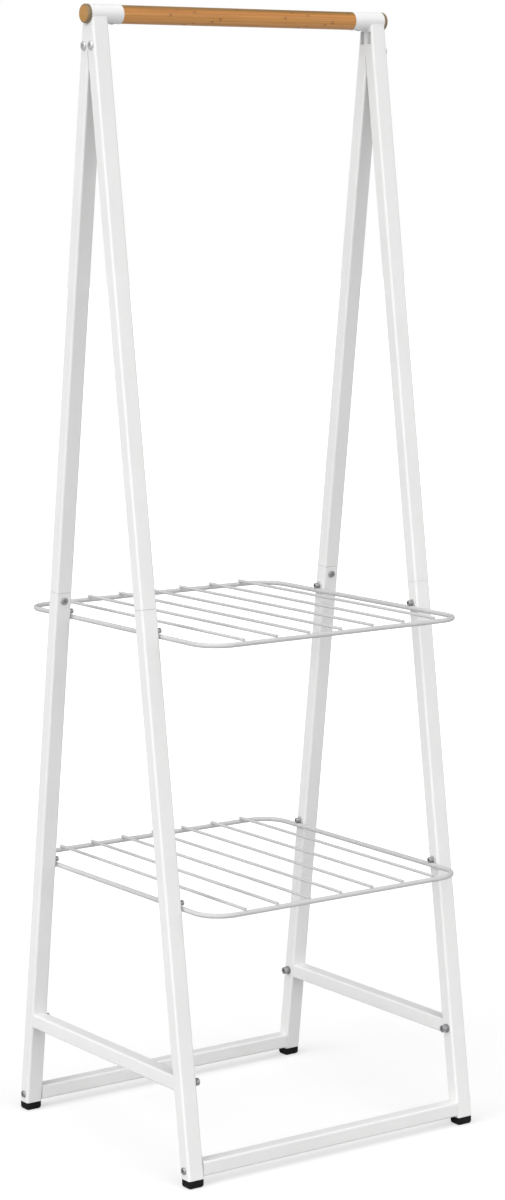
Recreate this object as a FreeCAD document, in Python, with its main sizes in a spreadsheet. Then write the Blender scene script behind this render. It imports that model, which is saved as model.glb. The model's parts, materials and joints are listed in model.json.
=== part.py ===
"""Free-standing clothes rack: two braced A-frames, a bamboo hanging rod and two wire shelves.

Units are millimetres.  X runs along the rod, -Y is the front, +Z is up, and the origin is on
the floor under the middle of the rack.  The rack is the same on both sides of X = 0 and of Y = 0.
"""
import FreeCAD, Part
import Sketcher
import math
import os

Vector = FreeCAD.Vector
Placement = FreeCAD.Placement
Rotation = FreeCAD.Rotation

SIDES = (("left", -1), ("right", 1))
ROWS = (("front", -1), ("rear", 1))
X_AXIS = Vector(1, 0, 0)
Y_AXIS = Vector(0, 1, 0)
Z_AXIS = Vector(0, 0, 1)

# ---------------------------------------------------------------- driving dimensions
SIZES = (
    ("rod_axis_height", 1884.5, "floor to the centre of the hanging rod"),
    ("rod_diameter", 30, "bamboo rod"),
    ("spigot_diameter", 25.6, "turned-down ends that enter the sleeves"),
    ("spigot_length", 28, "rod end inside the sleeve"),
    ("sleeve_diameter", 31, "outside of the head's sleeve"),
    ("sleeve_bore", 26, "inside of the head's sleeve"),
    ("sleeve_start", 234, "middle of the rack to the sleeve's inner end"),
    ("sleeve_end", 295, "middle of the rack to the sleeve's outer end"),
    ("plug_thickness", 7, "end plug outside the sleeve"),
    ("plug_spigot", 14, "end plug inside the sleeve"),
    ("plug_round", 2.8, "rounded rim of the end plug"),
    ("leg_spacing", 560, "left to right A-frame, centre to centre"),
    ("foot_spread", 512, "front to rear leg, centre lines at the floor"),
    ("apex_height", 1897, "height where two leg centre lines would cross"),
    ("tube_width", 30, "leg tube along X"),
    ("tube_depth", 25, "leg tube front to rear, square to its length"),
    ("tube_wall", 1.2, "wall of every tube"),
    ("tube_corner", 4, "outer corner radius of the leg tube"),
    ("leg_end_height", 14, "floor to the cut bottom end of a leg"),
    ("seam_height", 934, "joint between the lower and upper leg tubes"),
    ("seam_gap", 0.6, "open line between those tubes"),
    ("mitre_gap", 0.6, "each upper tube stands this far from the middle plane"),
    ("neck_bottom", 1825, "bottom edge of the head, where the upper tubes start"),
    ("window_bottom", 1846, "lower edge of the head's two inner windows"),
    ("window_top", 1867, "upper edge of the head's two inner windows"),
    ("head_screw_height", 1834, "screws that hold the leg tongues in the head"),
    ("head_screw_offset", 10.5, "those screws, from the middle plane"),
    ("insert_length", 60, "top insert inside an upper tube"),
    ("fit_gap", 0.2, "play around an insert"),
    ("joint_length", 120, "coupler inside a leg joint"),
    ("joint_wall", 3, "wall of that coupler"),
    ("joint_screw_height", 920, "screw below a leg joint"),
    ("bar_size", 25, "square tube of the braces and bottom bars"),
    ("bar_corner", 3.5, "outer corner radius of that tube"),
    ("bottom_bar_height", 29, "floor to the centre of a bottom bar"),
    ("bar_plug_length", 30, "threaded plug in the end of a bottom bar"),
    ("brace_height", 167, "floor to the centre of a side brace"),
    ("tongue_size", 21.4, "square tongue that pins a brace to a leg"),
    ("tongue_root", 180, "middle plane to the tongue's inner end"),
    ("tongue_tip", 241, "middle plane to the tongue's tip inside the leg"),
    ("collar_diameter", 14.5, "plastic collar under a brace bolt's head"),
    ("collar_thickness", 4.5, "plastic collar"),
    ("foot_corner", 6, "corner radius of a foot pad"),
    ("foot_round", 5.5, "rounded bottom edge of a foot pad"),
    ("foot_lip", 0.6, "foot pad wider than the leg, along X"),
    ("foot_shoulder", 1, "foot pad deeper than the leg, front to rear"),
    ("foot_plug", 9, "foot pad's plug inside the tube"),
    ("lower_shelf_height", 449, "floor to the lower shelf's frame rod"),
    ("upper_shelf_height", 889, "floor to the upper shelf's frame rod"),
    ("frame_rod", 8, "shelf frame rod"),
    ("frame_width", 518, "shelf frame along X, rod centre to rod centre"),
    ("frame_depth", 564, "shelf frame along Y, rod centre to rod centre"),
    ("frame_corner", 48, "bend radius of the shelf frame"),
    ("wire_diameter", 5, "shelf wire"),
    ("wire_pitch", 64.3, "wire to wire"),
    ("wire_overhang", 1.5, "wire end past the centre of the frame rod"),
    ("tab_thickness", 2, "shelf tab"),
    ("tab_width", 14, "shelf tab"),
    ("tab_rise", 8.8, "shelf screw above the frame rod"),
    ("nut_length", 11, "rivet nut inside a leg"),
)
WIRE_COUNT = 7

# Screws: head diameter, head height, shank diameter, shank length, socket across corners.
HEAD_SCREW = (15, 3.6, 6, 23, 6)
JOINT_SCREW = (12.4, 3, 5, 7, 4.4)
SHELF_SCREW = (9, 8.6, 4, 12, 4)
BRACE_BOLT = (12.5, 6.5, 7, 26, 6)
BAR_SCREW = (12, 3.4, 6, 52, 4.6)
LOCK_SCREW = (7, 1.8, 3.5, 12, 2.4)

# Rounded rim of each head.
HEAD_SCREW_ROUND = 2.6
JOINT_SCREW_ROUND = 1.2
SHELF_SCREW_ROUND = 1.2
BRACE_BOLT_ROUND = 0.8
BAR_SCREW_ROUND = 1.6
LOCK_SCREW_ROUND = 0.8
COLLAR_ROUND = 1.2

HOLE_PLAY = 0.4
NUT_PLAY = 0.6
SOCKET_DEPTH = 2.2
RIVET_NUT = 7
RIVET_BULGE = 9.5
RIVET_BULGE_LENGTH = 3

# Tongue of a top insert inside the head: from the middle plane, width along X, and height.
TONGUE_NEAR = 2.2
TONGUE_FAR = 16.4
TONGUE_WIDTH = 21.6
TONGUE_HEIGHT = 18

# Pockets of the head for those tongues, and the blind windows above them.
POCKET_NEAR = 1.6
POCKET_FAR = 16.8
POCKET_WIDTH = 22
WINDOW_NEAR = 4.5
WINDOW_FAR = 14.4
WINDOW_DEPTH = 7

LOCK_SCREW_INSET = 15
FOOT_PLUG_DEPTH = 20
WELD_GAP = 0.05
SPOT_FACE_SINK = 1
SPOT_FACE_DEPTH = 5

# How far the screw holes run past the face they start from.
TUBE_HOLE_DEPTH = 5
JOINT_HOLE_DEPTH = 4
HEAD_HOLE_DEPTH = 8
COUPLER_HOLE_REACH = 10
LOCK_HOLE_DEPTH = 6

# Cut through a leg's inner wall where a brace tongue enters.
BRACE_WINDOW_DEPTH = 14

# Spare length of a tube or insert before its top is cut level.
TRIM = 20

# Reach of the boxes that trim a tube's end: larger than any section they cut.
MARGIN = 60

doc = FreeCAD.newDocument("ClothesRack")
sheet = doc.addObject("Spreadsheet::Sheet", "Dim")
for row_number, (alias, value, note) in enumerate(SIZES, start=1):
    sheet.set("A%d" % row_number, note)
    sheet.set("B%d" % row_number, str(value))
    sheet.setAlias("B%d" % row_number, alias)
doc.recompute()

subparts = []

# A leg's lean as expressions: run per unit of rise, and length along the leg per unit of rise.
LEAN = "(Dim.foot_spread / 2 / Dim.apex_height)"
STRETCH = "sqrt(1 + " + LEAN + " ^ 2)"


def size(alias):
    """Read one driving dimension from the sheet."""
    return float(sheet.get(alias))


def lean():
    """Horizontal run of a leg for each unit of height."""
    return size("foot_spread") / 2 / size("apex_height")


def leg_centre(height):
    """Distance from the middle plane to a leg's centre line at a height."""
    return (size("apex_height") - height) * lean()


def leg_turn(row):
    """Rotation from upright to a leg of that row."""
    return Rotation(X_AXIS, row * math.degrees(math.atan(lean())))


def leg_frame(side, row, height):
    """Frame on a leg's centre line at a height: its Z runs up the leg, its X is the rack's X."""
    centre = Vector(side * size("leg_spacing") / 2, row * leg_centre(height), height)
    return Placement(centre, leg_turn(row))


def face_placement(point, direction):
    """Frame at a point with its Z along a direction."""
    return Placement(point, Rotation(Z_AXIS, direction))


# ---------------------------------------------------------------- modelling helpers
def set_size(feature, name, value):
    """Bind a size to the sheet when it is an expression, or set it when it is a number."""
    if isinstance(value, str):
        feature.setExpression(name, value)
    else:
        setattr(feature, name, value)


def new_body(label, placement=None, keep=True):
    """Start a sub-part; a pattern piece that is only copied into groups is not kept."""
    body = doc.addObject("PartDesign::Body", label)
    body.Label = label
    if placement is not None:
        body.Placement = placement
    if keep:
        subparts.append(body)
    return body


def origin_plane(body, role):
    """One of the body's own origin planes."""
    for feature in body.Origin.OriginFeatures:
        if feature.Role == role:
            return feature
    raise ValueError("no plane called " + role)


def sketch_on(body, role, name):
    """Empty sketch on one of the body's own origin planes."""
    sketch = body.newObject("Sketcher::SketchObject", name)
    sketch.AttachmentSupport = [(origin_plane(body, role), "")]
    sketch.MapMode = "FlatFace"
    return sketch


def constrain(sketch, name, expression, *terms):
    """Add a dimension with a name and bind it to the sheet."""
    index = sketch.addConstraint(Sketcher.Constraint(*terms))
    sketch.renameConstraint(index, name)
    sketch.setExpression("Constraints." + name, expression)


def quadrilateral(sketch, points):
    """Closed outline of four lines through four points."""
    for i in range(4):
        sketch.addGeometry(Part.LineSegment(points[i], points[(i + 1) % 4]))
    for i in range(4):
        sketch.addConstraint(Sketcher.Constraint("Coincident", i, 2, (i + 1) % 4, 1))


def rectangle_sketch(body, role, name, width, depth):
    """Rectangle centred on the origin, with its width and depth as expressions."""
    sketch = sketch_on(body, role, name)
    half = 10
    quadrilateral(sketch, (Vector(-half, -half, 0), Vector(half, -half, 0),
                           Vector(half, half, 0), Vector(-half, half, 0)))
    for i, direction in enumerate(("Horizontal", "Vertical", "Horizontal", "Vertical")):
        sketch.addConstraint(Sketcher.Constraint(direction, i))
    sketch.addConstraint(Sketcher.Constraint("Symmetric", 0, 1, 2, 1, -1, 1))
    constrain(sketch, "width", width, "DistanceX", 0, 1, 0, 2, 2 * half)
    constrain(sketch, "depth", depth, "DistanceY", 1, 1, 1, 2, 2 * half)
    return sketch


def trapezoid_sketch(body, name, bottom, bottom_half, top, top_half):
    """Upright trapezoid in the YZ plane, the same on both sides of Y = 0; sizes are expressions."""
    sketch = sketch_on(body, "YZ_Plane", name)
    quadrilateral(sketch, (Vector(-30, 10, 0), Vector(30, 10, 0), Vector(20, 40, 0), Vector(-20, 40, 0)))
    sketch.addConstraint(Sketcher.Constraint("Symmetric", 0, 1, 0, 2, -2))
    sketch.addConstraint(Sketcher.Constraint("Symmetric", 2, 1, 2, 2, -2))
    constrain(sketch, "bottom", bottom, "DistanceY", -1, 1, 0, 1, 10)
    constrain(sketch, "top", top, "DistanceY", -1, 1, 2, 1, 40)
    constrain(sketch, "bottom_width", "2 * (" + bottom_half + ")", "DistanceX", 0, 1, 0, 2, 60)
    constrain(sketch, "top_width", "2 * (" + top_half + ")", "DistanceX", 2, 2, 2, 1, 40)
    return sketch


def pad(body, sketch, length, symmetric=False):
    feature = body.newObject("PartDesign::Pad", "Pad")
    feature.Profile = sketch
    feature.Midplane = symmetric
    set_size(feature, "Length", length)
    doc.recompute()
    return feature


def round_edges(body, base, radius, chosen):
    """Fillet the straight or curved edges of a feature that a test chooses."""
    names = []
    for number, edge in enumerate(base.Shape.Edges, start=1):
        if chosen(edge):
            names.append("Edge%d" % number)
    feature = body.newObject("PartDesign::Fillet", "Fillet")
    feature.Base = (base, names)
    set_size(feature, "Radius", radius)
    doc.recompute()
    return feature


def runs_along(direction):
    """Test for a straight edge within 10 degrees of a direction."""
    def test(edge):
        if edge.Curve.TypeId != "Part::GeomLine":
            return False
        return abs(edge.tangentAt(edge.FirstParameter).dot(direction)) > 0.985
    return test


def is_rim(radius, where):
    """Test for a circular edge of a radius at a height along the local Z."""
    def test(edge):
        if edge.Curve.TypeId != "Part::GeomCircle":
            return False
        return abs(edge.Curve.Radius - radius) < 0.01 and abs(edge.Curve.Center.z - where) < 0.01
    return test


def corner_line(direction, width, depth):
    """Test for an edge along a direction at a corner of a centred rectangle."""
    def test(edge):
        if not runs_along(direction)(edge):
            return False
        middle = edge.CenterOfMass
        reach = (middle - direction * middle.dot(direction)).Length
        return abs(reach - math.hypot(width, depth) / 2) < 0.01
    return test


def bore_out(body, sketch):
    """Cut a sketch right through its body, both ways."""
    feature = body.newObject("PartDesign::Pocket", "Bore")
    feature.Profile = sketch
    feature.Type = "ThroughAll"
    feature.Midplane = True
    doc.recompute()
    return feature


def box(body, kind, name, lengths, corner, turned=None):
    """Additive or Subtractive box; its corner is in the rack's frame unless a frame is given."""
    feature = body.newObject("PartDesign::" + kind + "Box", name)
    for prop, value in zip(("Length", "Width", "Height"), lengths):
        set_size(feature, prop, value)
    place = turned.multiply(Placement(corner, Rotation())) if turned else Placement(corner, Rotation())
    feature.Placement = body.Placement.inverse().multiply(place)
    return feature


def cylinder(body, kind, name, diameter, length, start, direction):
    """Additive or Subtractive cylinder in the rack's frame, from a start point along a direction."""
    feature = body.newObject("PartDesign::" + kind + "Cylinder", name)
    set_size(feature, "Radius", "(" + str(diameter) + ") / 2")
    set_size(feature, "Height", length)
    feature.Placement = body.Placement.inverse().multiply(face_placement(start, direction))
    return feature


def group_of(label, pattern, placements):
    """Identical pieces in one sub-part: separate copies of a pattern body."""
    doc.recompute()
    group = doc.addObject("Part::Feature", label)
    group.Label = label
    group.Shape = Part.Compound([pattern.Shape.transformed(place.toMatrix()) for place in placements])
    subparts.append(group)
    return group


def every_leg():
    """Side name, side sign, row name and row sign of the four legs."""
    for side_name, side in SIDES:
        for row_name, row in ROWS:
            yield side_name, side, row_name, row


# ---------------------------------------------------------------- legs
BORE_WIDTH = "(Dim.tube_width - 2 * Dim.tube_wall)"
BORE_DEPTH = "(Dim.tube_depth - 2 * Dim.tube_wall)"
BORE_CORNER = "Dim.tube_corner - Dim.tube_wall"
INSERT_CORNER = BORE_CORNER + " - Dim.fit_gap"
BAR_BORE = "(Dim.bar_size - 2 * Dim.tube_wall)"
BAR_BORE_CORNER = "Dim.bar_corner - Dim.tube_wall"


def leg_tube(label, placement, length):
    """Rounded rectangular tube that starts at the frame's origin and runs along its Z."""
    body = new_body(label, placement)
    outline = rectangle_sketch(body, "XY_Plane", "Outline", "Dim.tube_width", "Dim.tube_depth")
    solid = pad(body, outline, length)
    round_edges(body, solid, "Dim.tube_corner", runs_along(Z_AXIS))
    bore = bore_out(body, rectangle_sketch(body, "XY_Plane", "Inside", BORE_WIDTH, BORE_DEPTH))
    width = size("tube_width") - 2 * size("tube_wall")
    depth = size("tube_depth") - 2 * size("tube_wall")
    round_edges(body, bore, BORE_CORNER, corner_line(Z_AXIS, width, depth))
    return body


def wall_hole(body, name, diameter, point, direction, depth):
    """Screw hole through a wall: it starts outside the wall and runs a depth past it."""
    start = point - direction * depth
    cylinder(body, "Subtractive", name, diameter, 2 * depth, start, direction)


def leg_inner_face(side, row, height):
    """Point on the leg's face towards the other A-frame, on the centre line."""
    x = side * (size("leg_spacing") - size("tube_width")) / 2
    return Vector(x, row * leg_centre(height), height)


def leg_outer_face(side, row, height):
    """Point on the leg's outward side face, on the centre line."""
    x = side * (size("leg_spacing") + size("tube_width")) / 2
    return Vector(x, row * leg_centre(height), height)


def joint_screw_frame(side, row):
    """Frame on the leg face towards the middle plane, with Z pointing into the leg."""
    frame = leg_frame(side, row, size("joint_screw_height"))
    point = frame.multVec(Vector(0, -row * size("tube_depth") / 2, 0))
    return face_placement(point, frame.Rotation.multVec(Vector(0, row, 0)))


def shelf_screw_heights():
    return [size(level) + size("tab_rise") for level in ("lower_shelf_height", "upper_shelf_height")]


def lower_leg(side_name, side, row_name, row):
    """Lower tube: cut level at the floor end, with holes for the bar, brace, shelf and joint screws."""
    label = row_name + "_" + side_name + "_lower_leg"
    frame = leg_frame(side, row, 0)
    body = leg_tube(label, frame, "(Dim.seam_height - Dim.seam_gap) * " + STRETCH)
    low_corner = Vector(frame.Base.x - MARGIN, frame.Base.y - MARGIN, size("leg_end_height") - MARGIN)
    box(body, "Subtractive", "LevelEnd", (2 * MARGIN, 2 * MARGIN, MARGIN), low_corner)

    inward = Vector(-side, 0, 0)
    bar_screw = leg_outer_face(side, row, size("bottom_bar_height"))
    cylinder(body, "Subtractive", "BarScrewHole", BAR_SCREW[2] + HOLE_PLAY, MARGIN,
             bar_screw - inward, inward)
    wall_hole(body, "BraceBoltHole", BRACE_BOLT[2] + HOLE_PLAY,
              leg_inner_face(side, row, size("brace_height")), inward, TUBE_HOLE_DEPTH)
    window = size("tongue_size") + 2 * size("fit_gap")
    inner_wall = leg_centre(size("brace_height")) - size("tube_depth") / 2
    window_corner = Vector(frame.Base.x - window / 2, row * inner_wall - BRACE_WINDOW_DEPTH / 2,
                           size("brace_height") - window / 2)
    box(body, "Subtractive", "BraceWindow", (window, BRACE_WINDOW_DEPTH, window), window_corner)
    for height in shelf_screw_heights():
        wall_hole(body, "ShelfNutHole", RIVET_NUT + HOLE_PLAY, leg_inner_face(side, row, height), inward,
                  TUBE_HOLE_DEPTH)
    joint = joint_screw_frame(side, row)
    wall_hole(body, "JointScrewHole", JOINT_SCREW[2] + HOLE_PLAY, joint.Base,
              joint.Rotation.multVec(Z_AXIS), JOINT_HOLE_DEPTH)
    return body


def keep_own_half(body, row, centre_x, bottom, top, gap):
    """Cut away what crosses the middle plane, leaving a gap."""
    y = row * gap - (2 * MARGIN if row > 0 else 0)
    box(body, "Subtractive", "Mitre", (2 * MARGIN, 2 * MARGIN, top - bottom),
        Vector(centre_x - MARGIN, y, bottom))


def upper_leg(side_name, side, row_name, row):
    """Upper tube: mitred against its partner on the middle plane and cut level under the head."""
    label = row_name + "_" + side_name + "_upper_leg"
    frame = leg_frame(side, row, size("seam_height"))
    body = leg_tube(label, frame, "(Dim.neck_bottom - Dim.seam_height + %d) * " % TRIM + STRETCH)
    top = size("neck_bottom")
    box(body, "Subtractive", "LevelTop", (2 * MARGIN, 4 * MARGIN, MARGIN),
        Vector(frame.Base.x - MARGIN, -2 * MARGIN, top))
    keep_own_half(body, row, frame.Base.x, top - 2 * MARGIN, top + 1, size("mitre_gap"))
    return body


def top_insert(side_name, side, row_name, row):
    """Block inside the upper tube's end, with a tongue that goes up into the head."""
    label = row_name + "_" + side_name + "_top_insert"
    top = size("neck_bottom")
    frame = leg_frame(side, row, top - size("insert_length"))
    body = new_body(label, frame)
    outline = rectangle_sketch(body, "XY_Plane", "Outline", BORE_WIDTH + " - 2 * Dim.fit_gap",
                               BORE_DEPTH + " - 2 * Dim.fit_gap")
    solid = pad(body, outline, "(Dim.insert_length + %d) * " % TRIM + STRETCH)
    round_edges(body, solid, INSERT_CORNER, runs_along(Z_AXIS))
    box(body, "Subtractive", "LevelTop", (2 * MARGIN, 4 * MARGIN, MARGIN),
        Vector(frame.Base.x - MARGIN, -2 * MARGIN, top))
    gap = size("mitre_gap") + size("tube_wall")
    keep_own_half(body, row, frame.Base.x, top - 2 * MARGIN, top + 1, gap)
    y_near = row * TONGUE_NEAR if row > 0 else -TONGUE_FAR
    box(body, "Additive", "Tongue", (TONGUE_WIDTH, TONGUE_FAR - TONGUE_NEAR, TONGUE_HEIGHT),
        Vector(frame.Base.x - TONGUE_WIDTH / 2, y_near, top))
    screw = Vector(frame.Base.x - side * MARGIN, row * size("head_screw_offset"), size("head_screw_height"))
    cylinder(body, "Subtractive", "ScrewHole", HEAD_SCREW[2] + HOLE_PLAY, 2 * MARGIN,
             screw, Vector(side, 0, 0))
    return body


def joint_coupler(side_name, side, row_name, row):
    """Rectangular tube that joins the lower and upper leg tubes from inside."""
    label = row_name + "_" + side_name + "_joint_coupler"
    frame = leg_frame(side, row, size("seam_height"))
    body = new_body(label, frame)
    play = " - 2 * Dim.fit_gap"
    outline = rectangle_sketch(body, "XY_Plane", "Outline", BORE_WIDTH + play, BORE_DEPTH + play)
    solid = pad(body, outline, "Dim.joint_length", symmetric=True)
    round_edges(body, solid, INSERT_CORNER, runs_along(Z_AXIS))
    hollow = play + " - 2 * Dim.joint_wall"
    inside = rectangle_sketch(body, "XY_Plane", "Inside", BORE_WIDTH + hollow, BORE_DEPTH + hollow)
    bore_out(body, inside)
    joint = joint_screw_frame(side, row)
    direction = joint.Rotation.multVec(Z_AXIS)
    cylinder(body, "Subtractive", "ScrewHole", JOINT_SCREW[2] + HOLE_PLAY, COUPLER_HOLE_REACH,
             joint.Base - direction, direction)
    return body


# ---------------------------------------------------------------- heads, rod and end plugs
def rod_point(x):
    """Point on the hanging rod's axis."""
    return Vector(x, 0, size("rod_axis_height"))


def leg_edge(height):
    """Expression: middle plane to a leg's outer outline at a height given as an expression."""
    return "(Dim.apex_height - " + height + ") * " + LEAN + " + Dim.tube_depth / 2 * " + STRETCH


def lock_screw_seat(side):
    """Centre of the flat spot face under a sleeve."""
    x = side * (size("sleeve_start") + LOCK_SCREW_INSET)
    return Vector(x, 0, size("rod_axis_height") - size("sleeve_diameter") / 2 + SPOT_FACE_SINK)


def head(side_name, side):
    """Cast T-piece: a sleeve for the rod on a tapered neck that takes both leg tongues."""
    centre_x = side * size("leg_spacing") / 2
    body = new_body(side_name + "_head", Placement(Vector(centre_x, 0, 0), Rotation()))
    neck = trapezoid_sketch(body, "Neck", "Dim.neck_bottom", leg_edge("Dim.neck_bottom"),
                            "Dim.rod_axis_height", leg_edge("Dim.rod_axis_height"))
    solid = pad(body, neck, "Dim.tube_width", symmetric=True)
    round_edges(body, solid, "Dim.tube_corner", runs_along(Z_AXIS))
    outward = Vector(side, 0, 0)
    cylinder(body, "Additive", "Sleeve", "Dim.sleeve_diameter", "Dim.sleeve_end - Dim.sleeve_start",
             rod_point(side * size("sleeve_start")), outward)
    cylinder(body, "Subtractive", "SleeveBore", "Dim.sleeve_bore", 2 * MARGIN,
             rod_point(side * (size("sleeve_start") - 10)), outward)

    bottom = size("neck_bottom")
    for row_name, row in ROWS:
        near = POCKET_NEAR if row > 0 else -POCKET_FAR
        box(body, "Subtractive", row_name.title() + "Pocket",
            (POCKET_WIDTH, POCKET_FAR - POCKET_NEAR, "Dim.window_bottom - Dim.neck_bottom"),
            Vector(centre_x - POCKET_WIDTH / 2, near, bottom))
        near = WINDOW_NEAR if row > 0 else -WINDOW_FAR
        inner_face = centre_x - side * size("tube_width") / 2
        corner_x = inner_face - WINDOW_DEPTH if side < 0 else inner_face
        box(body, "Subtractive", row_name.title() + "Window",
            (WINDOW_DEPTH, WINDOW_FAR - WINDOW_NEAR, "Dim.window_top - Dim.window_bottom"),
            Vector(corner_x, near, size("window_bottom")))
        face = Vector(side * size("sleeve_end"), row * size("head_screw_offset"), size("head_screw_height"))
        wall_hole(body, row_name.title() + "ScrewHole", HEAD_SCREW[2] + HOLE_PLAY, face, outward,
                  HEAD_HOLE_DEPTH)

    seat = lock_screw_seat(side)
    cylinder(body, "Subtractive", "SpotFace", LOCK_SCREW[0] + HOLE_PLAY, SPOT_FACE_DEPTH, seat, -Z_AXIS)
    wall_hole(body, "LockScrewHole", LOCK_SCREW[2] + HOLE_PLAY, seat, Z_AXIS, LOCK_HOLE_DEPTH)
    return body


def hanging_rod():
    """Round rod with turned-down ends inside the sleeves."""
    body = new_body("hanging_rod", Placement(rod_point(0), Rotation()))
    shoulder = size("sleeve_start")
    cylinder(body, "Additive", "Bar", "Dim.rod_diameter", "2 * Dim.sleeve_start",
             rod_point(-shoulder), X_AXIS)
    for side_name, side in SIDES:
        cylinder(body, "Additive", side_name.title() + "Spigot", "Dim.spigot_diameter",
                 "Dim.spigot_length", rod_point(side * shoulder), Vector(side, 0, 0))
        cylinder(body, "Subtractive", side_name.title() + "ScrewHole", LOCK_SCREW[2] + HOLE_PLAY,
                 LOCK_SCREW[3] + 1, lock_screw_seat(side), Z_AXIS)
    return body


def end_plug(side_name, side):
    """Rounded plug that closes a sleeve's outer end."""
    seat = rod_point(side * size("sleeve_end"))
    outward = Vector(side, 0, 0)
    body = new_body(side_name + "_end_plug", face_placement(seat, outward))
    cylinder(body, "Additive", "Cap", "Dim.sleeve_diameter", "Dim.plug_thickness", seat, outward)
    spigot = cylinder(body, "Additive", "Spigot", "Dim.spigot_diameter", "Dim.plug_spigot", seat, -outward)
    doc.recompute()
    round_edges(body, spigot, "Dim.plug_round", is_rim(size("sleeve_diameter") / 2, size("plug_thickness")))
    return body


# ---------------------------------------------------------------- braces, bars and feet
def square_tube(label, placement, role, length, direction):
    """Square tube with rounded corners, centred on its frame's origin."""
    body = new_body(label, placement)
    outline = rectangle_sketch(body, role, "Outline", "Dim.bar_size", "Dim.bar_size")
    solid = pad(body, outline, length, symmetric=True)
    round_edges(body, solid, "Dim.bar_corner", runs_along(direction))
    bore = bore_out(body, rectangle_sketch(body, role, "Inside", BAR_BORE, BAR_BORE))
    width = size("bar_size") - 2 * size("tube_wall")
    round_edges(body, bore, BAR_BORE_CORNER, corner_line(direction, width, width))
    return body


def side_brace(side_name, side):
    """Tube between the front and rear legs of one A-frame, its ends cut to the lean of the legs."""
    height = size("brace_height")
    placement = Placement(Vector(side * size("leg_spacing") / 2, 0, height), Rotation())
    length = "2 * (Dim.apex_height - Dim.brace_height) * " + LEAN
    body = square_tube(side_name + "_side_brace", placement, "XZ_Plane", length, Y_AXIS)
    for row_name, row in ROWS:
        inner = size("tube_depth") / 2
        y = -inner if row > 0 else inner - MARGIN
        box(body, "Subtractive", row_name.title() + "End", (2 * MARGIN, MARGIN, 2 * height),
            Vector(-MARGIN, y, 0), leg_frame(side, row, 0))
    return body


def brace_bolt_centre(side, row):
    """Centre of a brace bolt on the leg's inner side face."""
    return leg_inner_face(side, row, size("brace_height"))


def brace_tongue():
    """Square tongue for one end of a brace, drawn with its bolt hole on the origin."""
    body = new_body("TonguePattern", keep=False)
    root = leg_centre(size("brace_height")) - size("tongue_root")
    half = size("tongue_size") / 2
    block = box(body, "Additive", "Tongue",
                ("Dim.tongue_size", "Dim.tongue_tip - Dim.tongue_root", "Dim.tongue_size"),
                Vector(-half, -root, -half))
    doc.recompute()
    round_edges(body, block, BAR_BORE_CORNER, runs_along(Y_AXIS))
    cylinder(body, "Subtractive", "BoltHole", BRACE_BOLT[2] + HOLE_PLAY, 2 * MARGIN,
             Vector(-MARGIN, 0, 0), X_AXIS)
    return body


def collar():
    """Round plastic collar, drawn with its seat on the origin and Z away from the leg."""
    body = new_body("CollarPattern", keep=False)
    ring = cylinder(body, "Additive", "Ring", "Dim.collar_diameter", "Dim.collar_thickness",
                    Vector(), Z_AXIS)
    doc.recompute()
    rim = is_rim(size("collar_diameter") / 2, size("collar_thickness"))
    round_edges(body, ring, COLLAR_ROUND, rim)
    cylinder(body, "Subtractive", "Hole", BRACE_BOLT[2] + HOLE_PLAY, MARGIN,
             Vector(0, 0, -MARGIN / 2), Z_AXIS)
    return body


def bottom_bar(row_name, row):
    """Tube between the two A-frames just above the feet."""
    height = size("bottom_bar_height")
    placement = Placement(Vector(0, row * leg_centre(height), height), Rotation())
    return square_tube(row_name + "_bottom_bar", placement, "YZ_Plane",
                       "Dim.leg_spacing - Dim.tube_width", X_AXIS)


def bar_plug():
    """Threaded plug for the end of a bottom bar, drawn with its outer face on X = 0."""
    body = new_body("BarPlugPattern", keep=False)
    plug_size = BAR_BORE + " - 2 * Dim.fit_gap"
    half = size("bar_size") / 2 - size("tube_wall") - size("fit_gap")
    block = box(body, "Additive", "Plug", ("Dim.bar_plug_length", plug_size, plug_size),
                Vector(0, -half, -half))
    doc.recompute()
    round_edges(body, block, BAR_BORE_CORNER, runs_along(X_AXIS))
    cylinder(body, "Subtractive", "ScrewHole", BAR_SCREW[2] + HOLE_PLAY, MARGIN, Vector(-1, 0, 0), X_AXIS)
    return body


def foot(side_name, side, row_name, row):
    """Rubber pad under a leg with a plug that pushes into the tube."""
    pad_centre = leg_centre(size("leg_end_height")) + size("foot_shoulder") / 2
    placement = Placement(Vector(side * size("leg_spacing") / 2, row * pad_centre, 0), Rotation())
    body = new_body(row_name + "_" + side_name + "_foot", placement)
    outline = rectangle_sketch(body, "XY_Plane", "Outline", "Dim.tube_width + Dim.foot_lip",
                               "Dim.tube_depth + Dim.foot_shoulder")
    solid = pad(body, outline, "Dim.leg_end_height")
    rounded = round_edges(body, solid, "Dim.foot_corner", runs_along(Z_AXIS))
    round_edges(body, rounded, "Dim.foot_round", lambda edge: edge.BoundBox.ZMax < 0.01)
    width = size("tube_width") - 2 * size("tube_wall") - 2 * size("fit_gap")
    depth = FOOT_PLUG_DEPTH
    middle = leg_centre(size("leg_end_height") + size("foot_plug") / 2)
    corner = Vector(side * size("leg_spacing") / 2 - width / 2, row * middle - depth / 2,
                    size("leg_end_height"))
    plug = box(body, "Additive", "Plug", (width, depth, "Dim.foot_plug"), corner)
    doc.recompute()
    upright = runs_along(Z_AXIS)
    round_edges(body, plug, BORE_CORNER,
                lambda edge: upright(edge) and edge.BoundBox.ZMin > size("leg_end_height") - 0.01)
    return body


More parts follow.
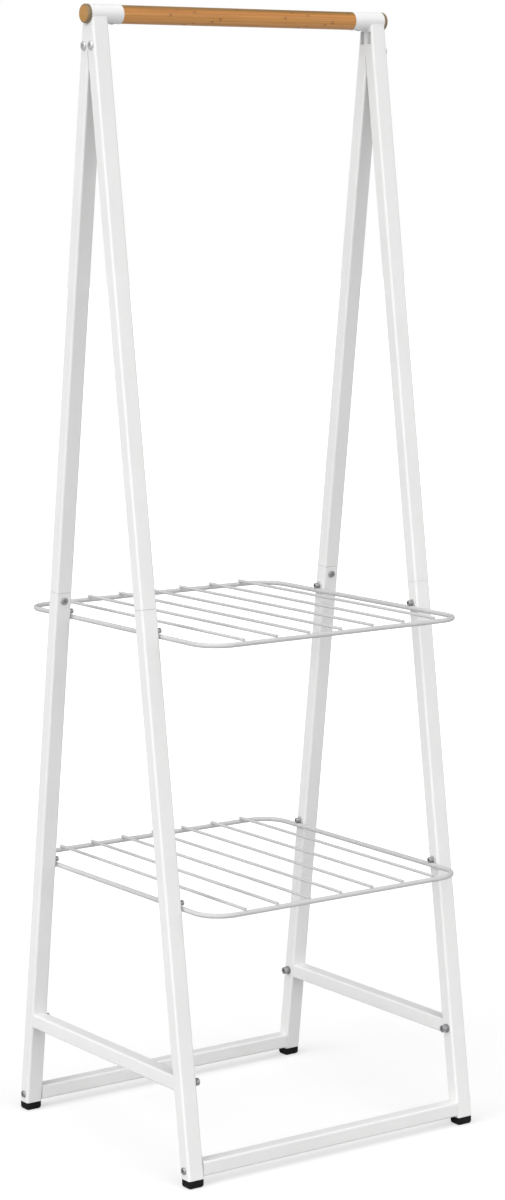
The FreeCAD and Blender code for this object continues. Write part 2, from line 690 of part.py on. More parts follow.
# ---------------------------------------------------------------- shelves
def shelf_frame(level):
    """Round rod bent into a rounded rectangle and welded shut."""
    height = size(level + "_shelf_height")
    body = new_body(level + "_shelf_frame", Placement(Vector(0, 0, height), Rotation()))
    half_x = size("frame_width") / 2
    half_y = size("frame_depth") / 2
    bend = size("frame_corner")
    base = body.Placement
    turns = []
    for quarter, (sx, sy) in enumerate(((1, 1), (-1, 1), (-1, -1), (1, -1))):
        centre = Vector(sx * (half_x - bend), sy * (half_y - bend), 0)
        turns.append(centre)
        corner = body.newObject("PartDesign::AdditiveTorus", "Bend%d" % quarter)
        set_size(corner, "Radius1", "Dim.frame_corner")
        set_size(corner, "Radius2", "Dim.frame_rod / 2")
        corner.Angle3 = 90
        corner.Placement = Placement(centre, Rotation(Z_AXIS, 90 * quarter))
    straight_x = "Dim.frame_width - 2 * Dim.frame_corner"
    straight_y = "Dim.frame_depth - 2 * Dim.frame_corner"
    for row_name, row in ROWS:
        start = base.multVec(Vector(bend - half_x, row * half_y, 0))
        cylinder(body, "Additive", row_name.title() + "Side", "Dim.frame_rod", straight_x, start, X_AXIS)
    for side_name, side in SIDES:
        start = base.multVec(Vector(side * half_x, bend - half_y, 0))
        cylinder(body, "Additive", side_name.title() + "Side", "Dim.frame_rod", straight_y, start, Y_AXIS)
    return body


def shelf_wires(level):
    """Straight wires welded side by side on top of the frame, front to rear."""
    wire = new_body(level.title() + "WirePattern", keep=False)
    length = "Dim.frame_depth + 2 * Dim.wire_overhang"
    half_length = size("frame_depth") / 2 + size("wire_overhang")
    cylinder(wire, "Additive", "Wire", "Dim.wire_diameter", length, Vector(0, -half_length, 0), Y_AXIS)
    rise = (size("frame_rod") + size("wire_diameter")) / 2 + WELD_GAP
    height = size(level + "_shelf_height") + rise
    middle = (WIRE_COUNT - 1) / 2
    places = []
    for i in range(WIRE_COUNT):
        places.append(Placement(Vector((i - middle) * size("wire_pitch"), 0, height), Rotation()))
    return group_of(level + "_shelf_wires", wire, places)


def shelf_tab():
    """Flat tab with a rounded top, drawn with its hole on the X axis and its welded face on X = 0."""
    body = new_body("TabPattern", keep=False)
    half_width = size("tab_width") / 2
    drop = size("tab_rise") + size("frame_rod") / 2
    box(body, "Additive", "Plate", ("Dim.tab_thickness", "Dim.tab_width", "Dim.tab_rise + Dim.frame_rod / 2"),
        Vector(0, -half_width, -drop))
    cylinder(body, "Additive", "RoundTop", "Dim.tab_width", "Dim.tab_thickness", Vector(), X_AXIS)
    cylinder(body, "Subtractive", "Hole", SHELF_SCREW[2] + HOLE_PLAY, 10, Vector(-5, 0, 0), X_AXIS)
    return body


def rivet_nut():
    """Nut clinched into a leg's side face, drawn with its flange on Z = 0 and Z into the leg."""
    body = new_body("RivetNutPattern", keep=False)
    cylinder(body, "Additive", "Barrel", RIVET_NUT, "Dim.nut_length", Vector(), Z_AXIS)
    cylinder(body, "Additive", "Bulge", RIVET_BULGE, RIVET_BULGE_LENGTH,
             Vector(0, 0, size("tube_wall")), Z_AXIS)
    cylinder(body, "Subtractive", "Bore", SHELF_SCREW[2] + NUT_PLAY, MARGIN, Vector(0, 0, -10), Z_AXIS)
    return body


# ---------------------------------------------------------------- screws
def screw(label, dimensions, rim_round):
    """Socket screw drawn with the underside of its head on Z = 0 and its shank along -Z."""
    head_diameter, head_height, shank_diameter, shank_length, socket = dimensions
    body = new_body(label, keep=False)
    top = cylinder(body, "Additive", "Head", head_diameter, head_height, Vector(), Z_AXIS)
    doc.recompute()
    round_edges(body, top, rim_round, is_rim(head_diameter / 2, head_height))
    cylinder(body, "Additive", "Shank", shank_diameter, shank_length, Vector(), -Z_AXIS)
    depth = min(SOCKET_DEPTH, 0.7 * head_height)
    key = body.newObject("PartDesign::SubtractivePrism", "Socket")
    key.Polygon = 6
    key.Circumradius = socket / 2
    key.Height = SOCKET_DEPTH + 1
    key.Placement = Placement(Vector(0, 0, head_height - depth), Rotation())
    return body


def shelf_screw_points():
    """Side sign, row sign and centre on the leg's inner side face of the eight shelf screws."""
    for height in shelf_screw_heights():
        for side_name, side, row_name, row in every_leg():
            yield side, row, leg_inner_face(side, row, height)


# ---------------------------------------------------------------- build the rack
hanging_rod()
for side_name, side in SIDES:
    end_plug(side_name, side)
    head(side_name, side)
    side_brace(side_name, side)
for side_name, side, row_name, row in every_leg():
    upper_leg(side_name, side, row_name, row)
    lower_leg(side_name, side, row_name, row)
    top_insert(side_name, side, row_name, row)
    joint_coupler(side_name, side, row_name, row)
    foot(side_name, side, row_name, row)
for row_name, row in ROWS:
    bottom_bar(row_name, row)

button_screw = screw("HeadScrewPattern", HEAD_SCREW, HEAD_SCREW_ROUND)
places = []
for side_name, side, row_name, row in every_leg():
    seat = Vector(side * size("sleeve_end"), row * size("head_screw_offset"), size("head_screw_height"))
    places.append(face_placement(seat, Vector(side, 0, 0)))
group_of("head_screws", button_screw, places)

group_of("rod_lock_screws", screw("LockScrewPattern", LOCK_SCREW, LOCK_SCREW_ROUND),
         [face_placement(lock_screw_seat(side), -Z_AXIS) for side_name, side in SIDES])

places = []
for side_name, side, row_name, row in every_leg():
    inward = joint_screw_frame(side, row)
    places.append(face_placement(inward.Base, -inward.Rotation.multVec(Z_AXIS)))
group_of("joint_screws", screw("JointScrewPattern", JOINT_SCREW, JOINT_SCREW_ROUND), places)

tongue = brace_tongue()
places = []
for side_name, side, row_name, row in every_leg():
    centre = leg_centre(size("brace_height"))
    flip = Rotation(Z_AXIS, 0 if row > 0 else 180)
    places.append(Placement(Vector(side * size("leg_spacing") / 2, row * centre, size("brace_height")), flip))
group_of("brace_tongues", tongue, places)

seats = [(side, brace_bolt_centre(side, row)) for side_name, side, row_name, row in every_leg()]
group_of("brace_collars", collar(), [face_placement(point, Vector(-side, 0, 0)) for side, point in seats])
lift = size("collar_thickness")
group_of("brace_bolts", screw("BraceBoltPattern", BRACE_BOLT, BRACE_BOLT_ROUND),
         [face_placement(point + Vector(-side * lift, 0, 0), Vector(-side, 0, 0)) for side, point in seats])

bar_height = size("bottom_bar_height")
places = []
for side_name, side, row_name, row in every_leg():
    turn = Rotation(Z_AXIS, 180 if side > 0 else 0)
    places.append(Placement(leg_inner_face(side, row, bar_height), turn))
group_of("bar_end_plugs", bar_plug(), places)
group_of("bar_screws", screw("BarScrewPattern", BAR_SCREW, BAR_SCREW_ROUND),
         [face_placement(leg_outer_face(side, row, bar_height), Vector(side, 0, 0))
          for side_name, side, row_name, row in every_leg()])

tab = shelf_tab()
for level in ("lower", "upper"):
    shelf_frame(level)
    shelf_wires(level)
    screw_height = size(level + "_shelf_height") + size("tab_rise")
    places = []
    for side_name, side, row_name, row in every_leg():
        seat = leg_inner_face(side, row, screw_height) - Vector(side * size("tab_thickness"), 0, 0)
        places.append(Placement(seat, Rotation(Z_AXIS, 0 if side > 0 else 180)))
    group_of(level + "_shelf_tabs", tab, places)

group_of("rivet_nuts", rivet_nut(),
         [face_placement(point, Vector(side, 0, 0)) for side, row, point in shelf_screw_points()])
thickness = size("tab_thickness")
group_of("shelf_screws", screw("ShelfScrewPattern", SHELF_SCREW, SHELF_SCREW_ROUND),
         [face_placement(point - Vector(side * thickness, 0, 0), Vector(-side, 0, 0))
          for side, row, point in shelf_screw_points()])

# ---------------------------------------------------------------- check and write
doc.recompute()
for item in doc.Objects:
    for word in ("Invalid", "Error"):
        if word in item.State:
            raise RuntimeError("object %s is %s" % (item.Name, word))
os.makedirs("parts", exist_ok=True)
for part in subparts:
    if part.Shape.isNull() or not part.Shape.isValid():
        raise RuntimeError("bad shape: " + part.Label)
    part.Shape.exportStep("parts/" + part.Label + ".step")
    print("%-26s %3d solids %10.1f mm3" % (part.Label, len(part.Shape.Solids), part.Shape.Volume))
print(len(subparts), "sub-parts")
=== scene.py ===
"""Looks for the free-standing clothes rack: materials, welds, studio and camera.  Metres, Z up."""
import json
import math

import bpy
from mathutils import Matrix, Vector


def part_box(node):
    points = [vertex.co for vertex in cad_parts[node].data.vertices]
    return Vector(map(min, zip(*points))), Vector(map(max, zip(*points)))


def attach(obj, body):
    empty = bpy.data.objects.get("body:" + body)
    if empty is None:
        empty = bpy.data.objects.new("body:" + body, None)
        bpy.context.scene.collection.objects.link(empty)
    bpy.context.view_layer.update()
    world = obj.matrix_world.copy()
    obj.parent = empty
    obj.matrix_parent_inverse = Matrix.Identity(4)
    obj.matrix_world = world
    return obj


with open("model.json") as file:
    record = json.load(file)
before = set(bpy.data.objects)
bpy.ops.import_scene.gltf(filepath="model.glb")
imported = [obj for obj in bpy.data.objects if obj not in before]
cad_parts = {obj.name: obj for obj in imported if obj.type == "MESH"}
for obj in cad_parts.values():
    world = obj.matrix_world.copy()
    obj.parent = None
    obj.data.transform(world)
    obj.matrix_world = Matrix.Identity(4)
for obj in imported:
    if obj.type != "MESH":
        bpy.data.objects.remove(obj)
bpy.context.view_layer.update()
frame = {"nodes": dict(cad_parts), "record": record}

MM = 0.001

# Bamboo: laminated strips (up the rod and front to rear), fibres drawn out along them, and knuckles.
STRIP_HEIGHT = 5.2 * MM
STRIP_DEPTH = 10.5 * MM
LAYER_STRIDE = 17.3
FIBRE_STRETCH = (6.0, 900.0, 900.0)
STREAK_STRETCH = (2.5, 230.0, 230.0)
KNUCKLE_SPACING = 0.23
KNUCKLE_SHIFT = 7.0

# Shelf wires and frame rods, and the weld beads beside each crossing.
WIRE_COUNT = 7
WIRE_RADIUS = 2.5 * MM
ROD_RADIUS = 4 * MM
BEAD_RINGS = 6
BEAD_SIDES = 12
BEAD_RADII = (1.3 * MM, 2.3 * MM, 1.1 * MM)
BEAD_OFFSET = 1.7 * MM
BEAD_SINK = 0.1 * MM
BEAD_SWELL = 0.10
BEAD_TWIST = 1.7
SEED_STEP = 1.3

# Painted shade of the shelves: their white coat as a share of the tubes' tone, dimmed for the shade on the
# thin rods and wires.
SHELF_SHADE_SHARE = 0.71

# Surrounding light: full from the front, fading between two shares of the way round to the rear.
FRONT_LIGHT = 0.85
REAR_LIGHT = 0.22
FADE_FROM = 0.25
FADE_TO = 0.68
AWAY_FROM_CAMERA = (0.575, 0.818, 0.0)

# Floor: its own tone, and the glow that only the camera sees, brighter from FADE_START to FADE_END.
FLOOR_REACH = 30.0
FLOOR_TONE = 0.5
FLOOR_TONE_SPREAD = 0.01
FLOOR_CLOUD = 1.3
FLOOR_ROUGHNESS = 0.85
FLOOR_GLOW = 0.52
HORIZON_GLOW = 0.80
FADE_START = 0.9
FADE_END = 3.0

# Lamps: direction from the rack to the lamp, strength, and width in degrees.
LAMPS = {
    "left": ((-0.92, -0.05, 0.38), 1.25, 45),
    "front": ((0.10, -0.90, 0.42), 0.60, 45),
    "top": ((-0.20, -0.20, 0.96), 0.95, 60),
}

# Camera: metres, radians and millimetres of lens and sensor.
CAMERA_PLACE = (-2.9005, -4.1522, 1.6482)
CAMERA_YAW = 0.6135
CAMERA_PITCH = -0.1448
CAMERA_ROLL = -0.0047
SENSOR_HEIGHT = 36.0
LENS = 90.14
CLIP_END = 100


# ---------------------------------------------------------------- node helpers
def new_material(name):
    """A material with its Principled shader and a node tree ready to extend."""
    material = bpy.data.materials.new(name)
    material.use_nodes = True
    return material, material.node_tree, material.node_tree.nodes["Principled BSDF"]


def add(tree, kind, **inputs):
    """Add a node; keyword names with a leading capital are its inputs, the others its properties."""
    node = tree.nodes.new("ShaderNode" + kind)
    for name, value in inputs.items():
        if name[0].isupper():
            node.inputs[name.replace("_", " ")].default_value = value
        else:
            setattr(node, name, value)
    return node


def join(tree, source, target):
    tree.links.new(source, target)


def place(tree, scale=(1, 1, 1), turn=(0, 0, 0)):
    """Object coordinates, stretched and turned: in metres before the stretch."""
    where = add(tree, "TexCoord")
    mapping = add(tree, "Mapping")
    mapping.inputs["Scale"].default_value = scale
    mapping.inputs["Rotation"].default_value = turn
    join(tree, where.outputs["Object"], mapping.inputs["Vector"])
    return mapping.outputs["Vector"]


def noise(tree, vector, scale, detail=2.0, roughness=0.5):
    node = add(tree, "TexNoise", Scale=scale, Detail=detail, Roughness=roughness)
    join(tree, vector, node.inputs["Vector"])
    return node.outputs["Fac"]


def ramp(tree, value, stops):
    """Colour ramp from (position, grey or colour) stops."""
    node = add(tree, "ValToRGB")
    elements = node.color_ramp.elements
    while len(elements) < len(stops):
        elements.new(0.5)
    for element, (position, colour) in zip(elements, stops):
        element.position = position
        element.color = (colour,) * 3 + (1,) if isinstance(colour, float) else tuple(colour) + (1,)
    join(tree, value, node.inputs["Fac"])
    return node.outputs["Color"]


def maths(tree, operation, first, second=0.0):
    node = add(tree, "Math", operation=operation)
    for socket, value in zip(node.inputs, (first, second)):
        if isinstance(value, float):
            socket.default_value = value
        else:
            join(tree, value, socket)
    return node.outputs[0]


def mix(tree, factor, first, second, blend="MIX"):
    """Mix two colours; each may be a socket or a colour."""
    node = add(tree, "Mix", data_type="RGBA", blend_type=blend)
    for name, value in (("Factor", factor), ("A", first), ("B", second)):
        socket = [s for s in node.inputs if s.name == name and s.enabled][0]
        if isinstance(value, float):
            socket.default_value = value
        elif isinstance(value, tuple):
            socket.default_value = value + (1,)
        else:
            join(tree, value, socket)
    return [s for s in node.outputs if s.enabled][0]


def bump(tree, shader, height, distance, strength=1.0, under=None):
    node = add(tree, "Bump", Strength=strength, Distance=distance)
    join(tree, height, node.inputs["Height"])
    if under is not None:
        join(tree, under, node.inputs["Normal"])
    join(tree, node.outputs["Normal"], shader.inputs["Normal"])
    return node.outputs["Normal"]


# ---------------------------------------------------------------- materials
def powder_coat(name, share):
    """Satin white powder coat: orange peel a millimetre or two across, with a faint uneven tone.

    share dims the paint as painted shade: 1 for the tubes, less for the shelves.
    """
    material, tree, shader = new_material(name)
    here = place(tree)
    tone = noise(tree, here, 9.0, 3.0)
    speckle = noise(tree, here, 420.0, 2.0)
    base = ramp(tree, tone, ((0.3, (0.815 * share, 0.815 * share, 0.812 * share)),
                             (0.7, (0.850 * share, 0.850 * share, 0.846 * share))))
    grain = ramp(tree, speckle, ((0.25, 0.965), (0.75, 1.0)))
    join(tree, mix(tree, 1.0, base, grain, "MULTIPLY"), shader.inputs["Base Color"])
    join(tree, ramp(tree, speckle, ((0.2, 0.44), (0.8, 0.56))), shader.inputs["Roughness"])
    peel = noise(tree, here, 700.0, 3.0, 0.55)
    slow = noise(tree, here, 60.0, 1.0)
    under = bump(tree, shader, slow, 0.0006, 0.25)
    bump(tree, shader, peel, 0.00012, 0.6, under)
    shader.inputs["Specular IOR Level"].default_value = 0.35
    return material


def bamboo():
    """Laminated bamboo: glued strips along X, each with its own tone, long fibres and knuckle marks."""
    material, tree, shader = new_material("bamboo")
    here = place(tree)
    split = add(tree, "SeparateXYZ")
    join(tree, here, split.inputs["Vector"])
    strip = maths(tree, "FLOOR", maths(tree, "DIVIDE", split.outputs["Z"], STRIP_HEIGHT))
    layer = maths(tree, "FLOOR", maths(tree, "DIVIDE", split.outputs["Y"], STRIP_DEPTH))
    key = maths(tree, "ADD", strip, maths(tree, "MULTIPLY", layer, LAYER_STRIDE))
    pick = add(tree, "TexWhiteNoise", noise_dimensions="1D")
    join(tree, key, pick.inputs["W"])

    fibre_place = add(tree, "CombineXYZ")
    join(tree, maths(tree, "ADD", split.outputs["X"], pick.outputs["Value"]), fibre_place.inputs["X"])
    join(tree, split.outputs["Y"], fibre_place.inputs["Y"])
    join(tree, split.outputs["Z"], fibre_place.inputs["Z"])
    stretch = add(tree, "Mapping")
    stretch.inputs["Scale"].default_value = FIBRE_STRETCH
    join(tree, fibre_place.outputs["Vector"], stretch.inputs["Vector"])
    fibre = noise(tree, stretch.outputs["Vector"], 1.0, 4.0, 0.6)
    streak_map = add(tree, "Mapping")
    streak_map.inputs["Scale"].default_value = STREAK_STRETCH
    join(tree, fibre_place.outputs["Vector"], streak_map.inputs["Vector"])
    streak = noise(tree, streak_map.outputs["Vector"], 1.0, 2.0, 0.5)

    tone = ramp(tree, pick.outputs["Value"],
                ((0.0, (0.55, 0.222, 0.046)), (0.5, (0.62, 0.270, 0.062)), (1.0, (0.70, 0.330, 0.090))))
    fine = ramp(tree, fibre, ((0.30, (0.74, 0.68, 0.60)), (0.55, 1.0), (0.8, (1.0, 1.0, 0.98))))
    broad = ramp(tree, streak, ((0.30, (0.86, 0.83, 0.78)), (0.65, 1.0)))
    colour = mix(tree, 1.0, mix(tree, 1.0, tone, fine, "MULTIPLY"), broad, "MULTIPLY")

    # Knuckles: a dark line across each strip about every 230 mm, at its own place.
    along = maths(tree, "ADD", maths(tree, "DIVIDE", split.outputs["X"], KNUCKLE_SPACING),
                  maths(tree, "MULTIPLY", pick.outputs["Value"], KNUCKLE_SHIFT))
    near = maths(tree, "ABSOLUTE", maths(tree, "SUBTRACT", maths(tree, "FRACT", along), 0.5))
    knuckle = ramp(tree, near, ((0.0, 0.75), (0.006, 0.35), (0.018, 0.0)))
    colour = mix(tree, knuckle, colour, (0.20, 0.085, 0.03))

    # Painted shade along the top of the rod: darker and greener towards the top.
    low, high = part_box("hanging_rod")
    middle = (low.z + high.z) / 2
    rise = maths(tree, "SUBTRACT", split.outputs["Z"], middle)
    top_shade = ramp(tree, maths(tree, "DIVIDE", rise, high.z - middle), ((0.50, 0.0), (0.76, 1.0)))
    colour = mix(tree, 1.0, colour, mix(tree, top_shade, (1.0, 1.0, 1.0), (0.52, 0.66, 0.85)), "MULTIPLY")

    # Glue lines between strips.
    edge = maths(tree, "ABSOLUTE", maths(tree, "SUBTRACT", maths(tree, "FRACT",
                 maths(tree, "DIVIDE", split.outputs["Z"], STRIP_HEIGHT)), 0.5))
    glue = ramp(tree, edge, ((0.455, 0.0), (0.5, 0.45)))
    colour = mix(tree, glue, colour, (0.17, 0.075, 0.03))
    join(tree, colour, shader.inputs["Base Color"])

    join(tree, ramp(tree, fibre, ((0.2, 0.46), (0.8, 0.34))), shader.inputs["Roughness"])
    height = maths(tree, "SUBTRACT", fibre, glue)
    bump(tree, shader, height, 0.00008, 0.7)
    shader.inputs["Coat Weight"].default_value = 0.25
    shader.inputs["Coat Roughness"].default_value = 0.25
    return material


def bamboo_plug():
    """End grain of bamboo: dark fibre dots on a golden ground, inside a dark rim of painted shade."""
    material, tree, shader = new_material("bamboo_plug")
    here = place(tree)
    split = add(tree, "SeparateXYZ")
    join(tree, here, split.inputs["Vector"])
    low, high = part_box("left_end_plug")
    centre_z = (low.z + high.z) / 2
    rim = (high.z - low.z) / 2
    down = maths(tree, "SUBTRACT", split.outputs["Z"], centre_z)
    square = maths(tree, "ADD", maths(tree, "MULTIPLY", split.outputs["Y"], split.outputs["Y"]),
                   maths(tree, "MULTIPLY", down, down))
    radius = maths(tree, "DIVIDE", maths(tree, "SQRT", square), rim)
    cells = add(tree, "TexVoronoi", Scale=1500.0)
    join(tree, here, cells.inputs["Vector"])
    dots = ramp(tree, cells.outputs["Distance"], ((0.15, (0.30, 0.15, 0.05)), (0.45, (0.56, 0.30, 0.095))))
    cloud = noise(tree, here, 240.0, 3.0)
    ground = mix(tree, 1.0, dots, ramp(tree, cloud, ((0.3, (0.78, 0.74, 0.66)), (0.7, 1.0))), "MULTIPLY")
    # Painted shade on the rounded rim: dark brown towards the edge, with a wavy border.
    wobble = maths(tree, "ADD", radius, maths(tree, "MULTIPLY", cloud, 0.06))
    rim_shade = ramp(tree, wobble, ((0.78, 0.0), (0.99, 1.0)))
    join(tree, mix(tree, rim_shade, ground, (0.230, 0.165, 0.085)), shader.inputs["Base Color"])
    join(tree, ramp(tree, cloud, ((0.2, 0.38), (0.8, 0.52))), shader.inputs["Roughness"])
    bump(tree, shader, cells.outputs["Distance"], 0.00006, 0.6)
    return material


def black_rubber():
    """Matt moulded rubber with a fine even grain and a little grey bloom."""
    material, tree, shader = new_material("black_rubber")
    here = place(tree)
    bloom = noise(tree, here, 70.0, 4.0)
    join(tree, ramp(tree, bloom, ((0.35, (0.006, 0.006, 0.006)), (0.75, (0.014, 0.014, 0.014)))),
         shader.inputs["Base Color"])
    grain = noise(tree, here, 1600.0, 2.0)
    join(tree, ramp(tree, grain, ((0.2, 0.62), (0.8, 0.80))), shader.inputs["Roughness"])
    bump(tree, shader, grain, 0.0001, 0.5)
    shader.inputs["Specular IOR Level"].default_value = 0.15
    return material


def grey_plastic():
    """Moulded mid-grey plastic of the collars under the brace bolts."""
    material, tree, shader = new_material("grey_plastic")
    here = place(tree)
    spots = noise(tree, here, 900.0, 3.0)
    join(tree, ramp(tree, spots, ((0.3, (0.17, 0.17, 0.175)), (0.7, (0.22, 0.22, 0.225)))),
         shader.inputs["Base Color"])
    join(tree, ramp(tree, spots, ((0.2, 0.34), (0.8, 0.52))), shader.inputs["Roughness"])
    bump(tree, shader, spots, 0.00005, 0.5)
    return material


def plated_steel(name, dark, light, smooth, rough):
    """Plated steel: grey with a soft crystalline mottle and fine scratches."""
    material, tree, shader = new_material(name)
    here = place(tree)
    mottle = noise(tree, here, 500.0, 4.0)
    join(tree, ramp(tree, mottle, ((0.3, (dark, dark, dark + 0.01)), (0.7, (light, light, light + 0.01)))),
         shader.inputs["Base Color"])
    scratch_place = place(tree, (300.0, 3000.0, 3000.0), (0.3, 0.5, 0.2))
    scratch = noise(tree, scratch_place, 1.0, 2.0)
    join(tree, ramp(tree, scratch, ((0.3, smooth), (0.7, rough))), shader.inputs["Roughness"])
    bump(tree, shader, scratch, 0.00003, 0.5)
    shader.inputs["Metallic"].default_value = 1.0
    return material


def insert_plastic():
    """Pale glass-filled plastic of the parts inside the tubes."""
    material, tree, shader = new_material("insert_plastic")
    here = place(tree)
    fill = noise(tree, here, 1200.0, 3.0)
    join(tree, ramp(tree, fill, ((0.3, (0.56, 0.57, 0.58)), (0.7, (0.64, 0.65, 0.66)))),
         shader.inputs["Base Color"])
    join(tree, ramp(tree, fill, ((0.2, 0.5), (0.8, 0.7))), shader.inputs["Roughness"])
    bump(tree, shader, fill, 0.00006, 0.4)
    return material


MATERIALS = {
    "white_coat": powder_coat("white_coat", 1.0),
    # The shelves' coat is the white coat dimmed as painted shade for the thin rods and wires.
    "shelf_coat": powder_coat("shelf_coat", SHELF_SHADE_SHARE),
    "bamboo": bamboo(),
    "bamboo_plug": bamboo_plug(),
    "black_rubber": black_rubber(),
    "grey_plastic": grey_plastic(),
    "zinc_screw": plated_steel("zinc_screw", 0.36, 0.50, 0.26, 0.44),
    "bright_screw": plated_steel("bright_screw", 0.66, 0.78, 0.50, 0.66),
    "insert_plastic": insert_plastic(),
}


def dress_nodes():
    """Give every CAD node the material of its slot in the record."""
    for part in frame["record"]["subparts"]:
        node = frame["nodes"][part["node"]]
        for holder in node.material_slots:
            holder.material = MATERIALS[part["material_slot"]]


# ---------------------------------------------------------------- welds on the shelves
def bead(points, faces, centre, radii, seed):
    """Add one weld bead: a squashed blob whose surface rises and falls a little."""
    start = len(points)
    for ring in range(1, BEAD_RINGS):
        polar = math.pi * ring / BEAD_RINGS
        for side in range(BEAD_SIDES):
            around = 2 * math.pi * side / BEAD_SIDES
            swell = 1 + BEAD_SWELL * math.sin(3 * around + seed) * math.sin(2 * polar + BEAD_TWIST * seed)
            points.append((centre[0] + swell * radii[0] * math.sin(polar) * math.cos(around),
                           centre[1] + swell * radii[1] * math.sin(polar) * math.sin(around),
                           centre[2] + swell * radii[2] * math.cos(polar)))
    top, bottom = len(points), len(points) + 1
    points.append((centre[0], centre[1], centre[2] + radii[2]))
    points.append((centre[0], centre[1], centre[2] - radii[2]))
    for side in range(BEAD_SIDES):
        after = (side + 1) % BEAD_SIDES
        faces.append((top, start + side, start + after))
        for ring in range(BEAD_RINGS - 2):
            here, below = start + ring * BEAD_SIDES, start + (ring + 1) * BEAD_SIDES
            faces.append((here + side, below + side, below + after, here + after))
        last = start + (BEAD_RINGS - 2) * BEAD_SIDES
        faces.append((last + side, bottom, last + after))


def shelf_welds(level):
    """Beads on both sides of each wire where it crosses the front and rear of the frame."""
    points, faces = [], []
    frame_low, frame_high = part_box(level + "_shelf_frame")
    wire_low, wire_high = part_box(level + "_shelf_wires")
    pitch = (wire_high.x - wire_low.x - 2 * WIRE_RADIUS) / (WIRE_COUNT - 1)
    front, rear = frame_low.y + ROD_RADIUS, frame_high.y - ROD_RADIUS
    seed = 0.0
    for wire in range(WIRE_COUNT):
        x = wire_low.x + WIRE_RADIUS + wire * pitch
        for y in (front, rear):
            for side in (-1, 1):
                seed += SEED_STEP
                spot = (x + side * BEAD_OFFSET, y, wire_low.z - BEAD_SINK)
                bead(points, faces, spot, BEAD_RADII, seed)
    mesh = bpy.data.meshes.new(level + "_shelf_welds")
    mesh.from_pydata(points, [], faces)
    for polygon in mesh.polygons:
        polygon.use_smooth = True
    welds = bpy.data.objects.new(level + "_shelf_welds", mesh)
    bpy.context.scene.collection.objects.link(welds)
    mesh.materials.append(MATERIALS["shelf_coat"])
    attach(welds, "root")


# ---------------------------------------------------------------- floor, lights and camera
def floor():
    """Large pale floor; a glow that only the camera sees fades it into the white backdrop."""
    mesh = bpy.data.meshes.new("floor")
    near, far = -FLOOR_REACH, FLOOR_REACH
    corners = [(near, near, 0), (far, near, 0), (far, far, 0), (near, far, 0)]
    mesh.from_pydata(corners, [], [(0, 1, 2, 3)])
    ground = bpy.data.objects.new("floor", mesh)
    bpy.context.scene.collection.objects.link(ground)
    material, tree, shader = new_material("floor_white")
    here = place(tree)
    cloud = noise(tree, here, FLOOR_CLOUD, 3.0)
    dark, light = FLOOR_TONE - FLOOR_TONE_SPREAD, FLOOR_TONE + FLOOR_TONE_SPREAD
    join(tree, ramp(tree, cloud, ((0.3, dark), (0.7, light))), shader.inputs["Base Color"])
    centre = add(tree, "VectorMath", operation="LENGTH")
    join(tree, here, centre.inputs[0])
    distance = maths(tree, "DIVIDE", centre.outputs["Value"], FADE_END)
    fade = ramp(tree, distance, ((FADE_START / FADE_END, FLOOR_GLOW), (1.0, HORIZON_GLOW)))
    ray = add(tree, "LightPath")
    seen = mix(tree, ray.outputs["Is Camera Ray"], (0.0, 0.0, 0.0), fade)
    join(tree, seen, shader.inputs["Emission Color"])
    shader.inputs["Emission Strength"].default_value = 1.0
    shader.inputs["Roughness"].default_value = FLOOR_ROUGHNESS
    shader.inputs["Specular IOR Level"].default_value = 0.0
    mesh.materials.append(material)


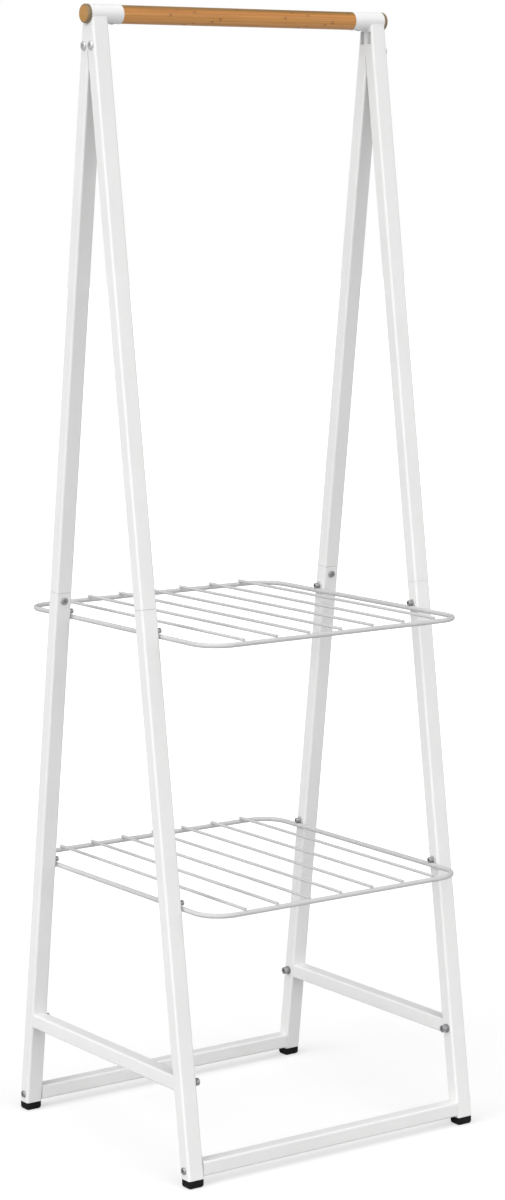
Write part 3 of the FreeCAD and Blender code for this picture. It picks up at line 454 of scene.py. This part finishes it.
def surroundings():
    """The camera sees a white backdrop; the light on the rack is strong in front and weak at the rear."""
    world = bpy.data.worlds.new("studio")
    bpy.context.scene.world = world
    world.use_nodes = True
    tree = world.node_tree
    dim = tree.nodes["Background"]
    away = add(tree, "VectorMath", operation="DOT_PRODUCT")
    join(tree, add(tree, "TexCoord").outputs["Generated"], away.inputs[0])
    away.inputs[1].default_value = AWAY_FROM_CAMERA
    share = maths(tree, "MULTIPLY", maths(tree, "ADD", away.outputs["Value"], 1.0), 0.5)
    join(tree, ramp(tree, share, ((FADE_FROM, FRONT_LIGHT), (FADE_TO, REAR_LIGHT))), dim.inputs["Color"])
    dim.inputs["Strength"].default_value = 1.0
    backdrop = tree.nodes.new("ShaderNodeBackground")
    backdrop.inputs["Color"].default_value = (1.0, 1.0, 1.0, 1)
    backdrop.inputs["Strength"].default_value = 1.0
    ray = tree.nodes.new("ShaderNodeLightPath")
    choose = tree.nodes.new("ShaderNodeMixShader")
    join(tree, ray.outputs["Is Camera Ray"], choose.inputs["Fac"])
    join(tree, dim.outputs["Background"], choose.inputs[1])
    join(tree, backdrop.outputs["Background"], choose.inputs[2])
    join(tree, choose.outputs["Shader"], tree.nodes["World Output"].inputs["Surface"])


def soft_sun(name, towards, strength, spread):
    """A distant lamp as wide as a soft box; towards points from the object to the lamp."""
    lamp = bpy.data.lights.new(name, "SUN")
    lamp.energy = strength
    lamp.angle = math.radians(spread)
    holder = bpy.data.objects.new(name, lamp)
    holder.rotation_euler = Vector(towards).to_track_quat("Z", "Y").to_euler()
    bpy.context.scene.collection.objects.link(holder)


def lights():
    """Three soft lamps: from the left, from the front and from above."""
    for name, (towards, strength, spread) in LAMPS.items():
        soft_sun(name, towards, strength, spread)


def camera():
    """Long lens to the left of the rack's front, above its middle and tilted down."""
    data = bpy.data.cameras.new("camera")
    data.sensor_fit = "VERTICAL"
    data.sensor_height = SENSOR_HEIGHT
    data.lens = LENS
    data.clip_end = CLIP_END
    eye = bpy.data.objects.new("camera", data)
    forward = Vector((math.sin(CAMERA_YAW) * math.cos(CAMERA_PITCH),
                      math.cos(CAMERA_YAW) * math.cos(CAMERA_PITCH), math.sin(CAMERA_PITCH)))
    right = Vector((math.cos(CAMERA_YAW), -math.sin(CAMERA_YAW), 0))
    up = right.cross(forward)
    level_right = right
    right = math.cos(CAMERA_ROLL) * level_right + math.sin(CAMERA_ROLL) * up
    up = -math.sin(CAMERA_ROLL) * level_right + math.cos(CAMERA_ROLL) * up
    turn = Matrix((right, up, -forward)).transposed()
    eye.matrix_world = Matrix.Translation(CAMERA_PLACE) @ turn.to_4x4()
    bpy.context.scene.collection.objects.link(eye)
    bpy.context.scene.camera = eye


dress_nodes()
for shelf_level in ("lower", "upper"):
    shelf_welds(shelf_level)
floor()
surroundings()
lights()
camera()
bpy.context.scene.view_settings.view_transform = "Standard"
